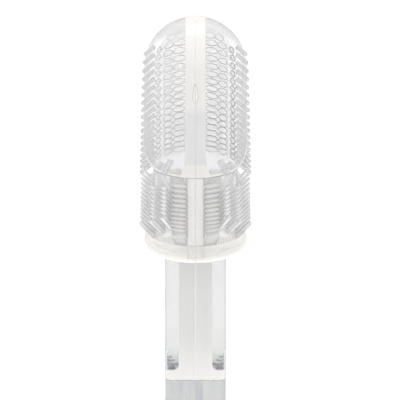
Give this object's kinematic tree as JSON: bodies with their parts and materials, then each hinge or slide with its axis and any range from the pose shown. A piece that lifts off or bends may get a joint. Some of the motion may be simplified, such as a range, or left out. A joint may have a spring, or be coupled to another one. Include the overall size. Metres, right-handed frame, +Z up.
{
  "type": "pull-off silicone toothbrush",
  "caption": "Clear silicone toothbrush head with raked bristles round a smooth domed pad, a collar and a grooved neck, pulled over a clear flat handle.",
  "frame": {"origin": "middle of the flat at the lower end of the handle", "axes": "+Z up the handle towards the dome, -Y the side of the smooth pad, +X to the right when the pad is seen from the front"},
  "size_m": [0.0226, 0.0221, 0.1148],
  "materials": {
    "clear_silicone": "clear moulded silicone, satin, faintly cloudy",
    "cream_silicone": "the same clear silicone where it is thick and looks warm and milky",
    "clear_plastic": "clear rigid plastic, glossy, cool grey in its depth"
  },
  "bodies": {
    "handle": {"handle_core": "clear_plastic"},
    "brush_head": {"neck_sleeve": "cream_silicone", "collar": "cream_silicone", "head_body": "clear_silicone", "dome_pad": "clear_silicone", "pad_rib": "cream_silicone", "lower_rib": "cream_silicone", "back_rib": "cream_silicone", "upper_bristles_left_1": "clear_silicone", "upper_bristles_left_2": "clear_silicone", "upper_bristles_left_3": "clear_silicone", "upper_bristles_left_4": "clear_silicone", "upper_bristles_left_5": "clear_silicone", "upper_bristles_left_6": "clear_silicone", "upper_bristles_right_1": "clear_silicone", "upper_bristles_right_2": "clear_silicone", "upper_bristles_right_3": "clear_silicone", "upper_bristles_right_4": "clear_silicone", "upper_bristles_right_5": "clear_silicone", "upper_bristles_right_6": "clear_silicone", "lower_bristles_left_1": "clear_silicone", "lower_bristles_left_2": "clear_silicone", "lower_bristles_left_3": "clear_silicone", "lower_bristles_left_4": "clear_silicone", "lower_bristles_right_1": "clear_silicone", "lower_bristles_right_2": "clear_silicone", "lower_bristles_right_3": "clear_silicone", "lower_bristles_right_4": "clear_silicone", "back_bristles_left_1": "clear_silicone", "back_bristles_left_2": "clear_silicone", "back_bristles_left_3": "clear_silicone", "back_bristles_right_1": "clear_silicone", "back_bristles_right_2": "clear_silicone", "back_bristles_right_3": "clear_silicone"}
  },
  "joints": [
    {"name": "head_pull", "type": "slide", "parent": "handle", "child": "brush_head", "axis": [0, 0, 1], "range_m": [0, 0.06]}
  ]
}
